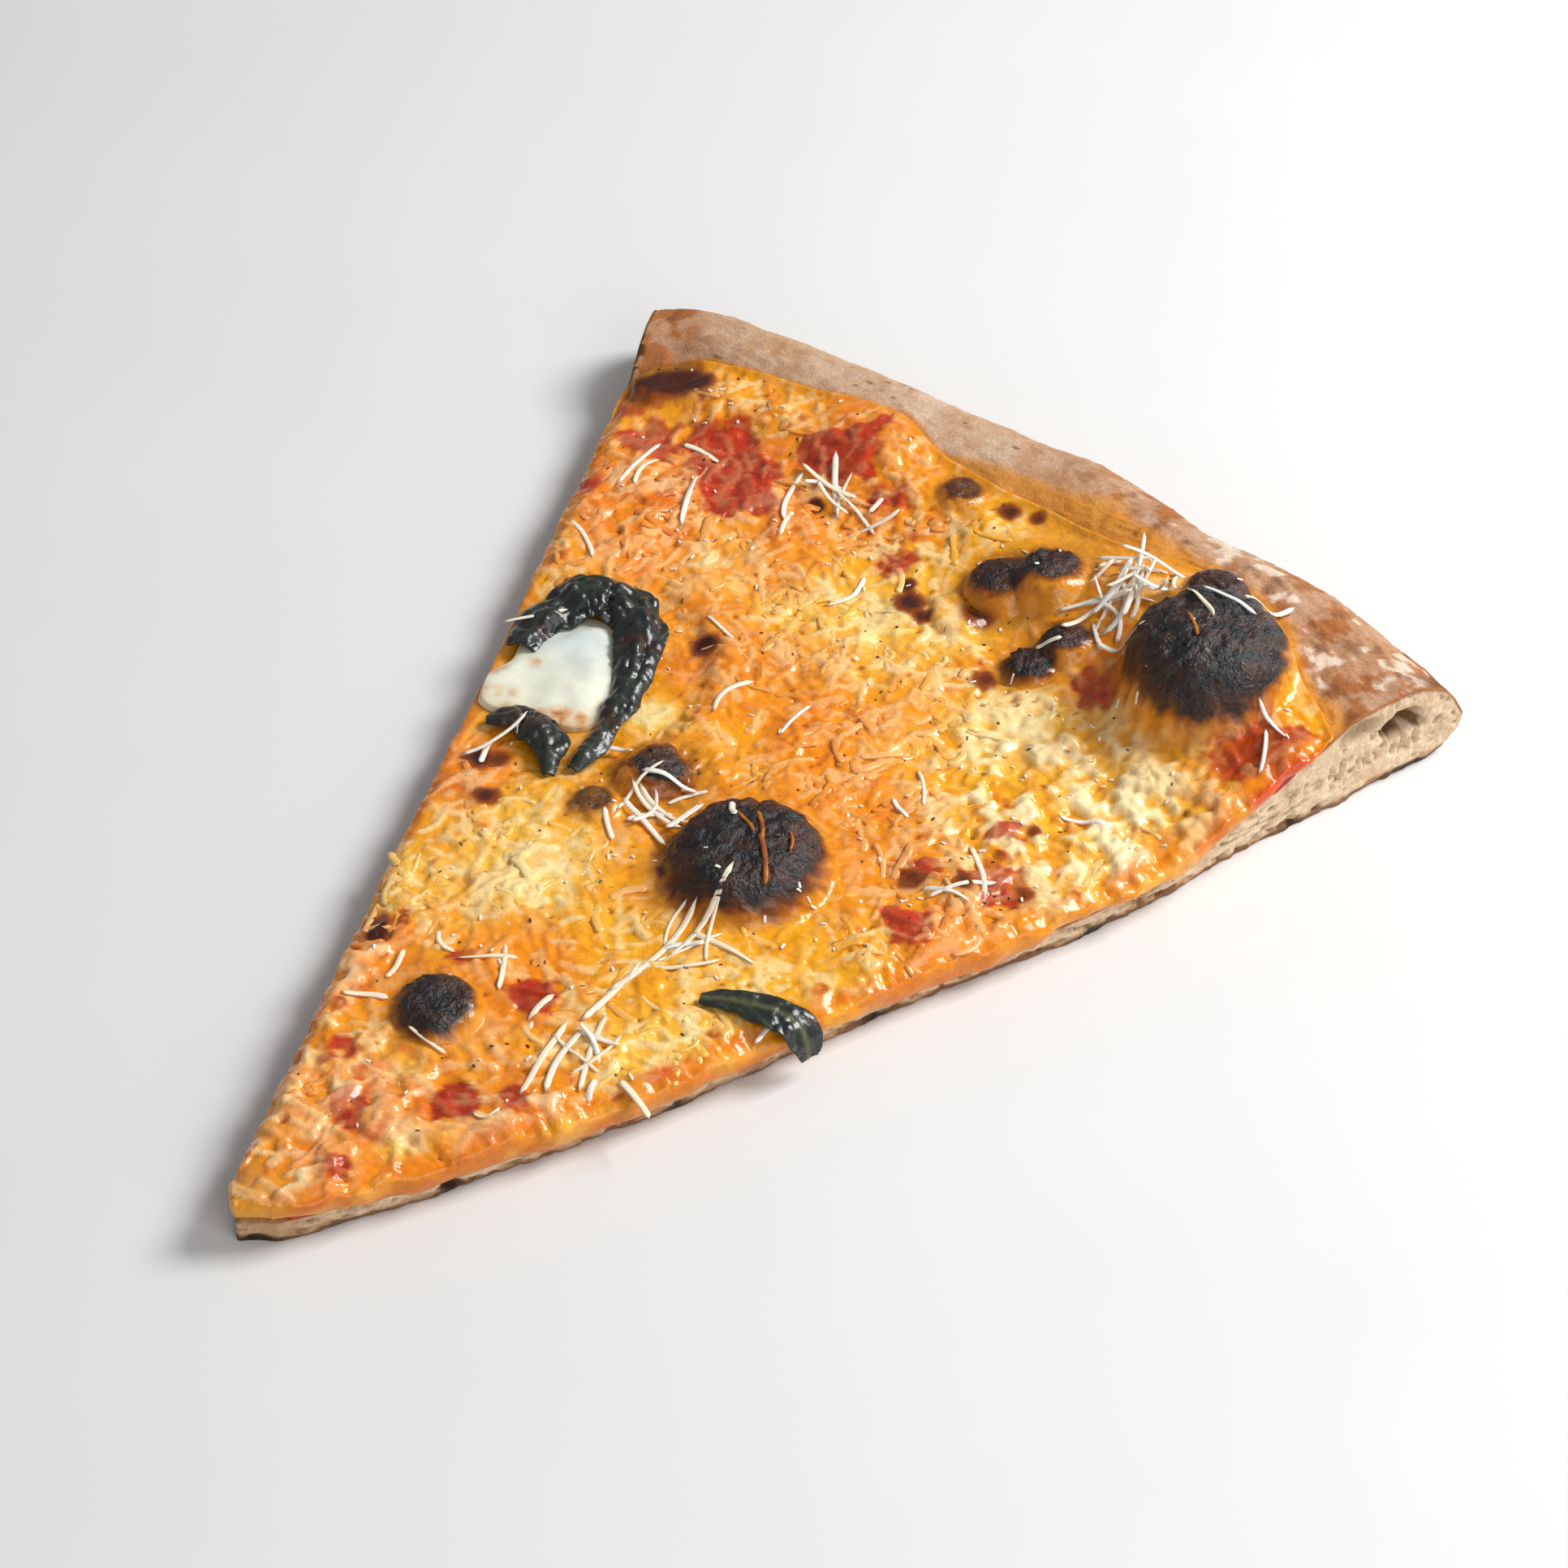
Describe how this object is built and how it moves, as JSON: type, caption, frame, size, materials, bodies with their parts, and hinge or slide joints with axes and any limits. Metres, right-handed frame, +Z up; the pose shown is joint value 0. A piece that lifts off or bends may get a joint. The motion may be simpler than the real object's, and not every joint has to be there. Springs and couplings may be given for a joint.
{
  "type": "cheese pizza slice",
  "caption": "Wide wedge of thin pizza with a puffed bare crust, blistered melted cheese over tomato sauce, shreds of hard cheese, a pool of mozzarella and dark curled basil.",
  "frame": {"origin": "middle of the bounding box, at the height of the flat underside", "axes": "+Y from the tip to the crust, +X towards the right cut seen from above with the crust at the top, +Z up out of the cheese"},
  "size_m": [0.174, 0.2232, 0.0281],
  "materials": {
    "dough": "baked dough, matt",
    "tomato_sauce": "moist red sauce",
    "cheese": "melted cheese, oily",
    "mozzarella": "moist fresh cheese",
    "basil": "baked leaf, dark and glossy"
  },
  "bodies": {
    "root": {"dough": "dough", "tomato_sauce": "tomato_sauce", "cheese": "cheese", "mozzarella": "mozzarella", "basil_curl": "basil", "basil_lobe": "basil", "basil_edge": "basil"}
  },
  "joints": []
}
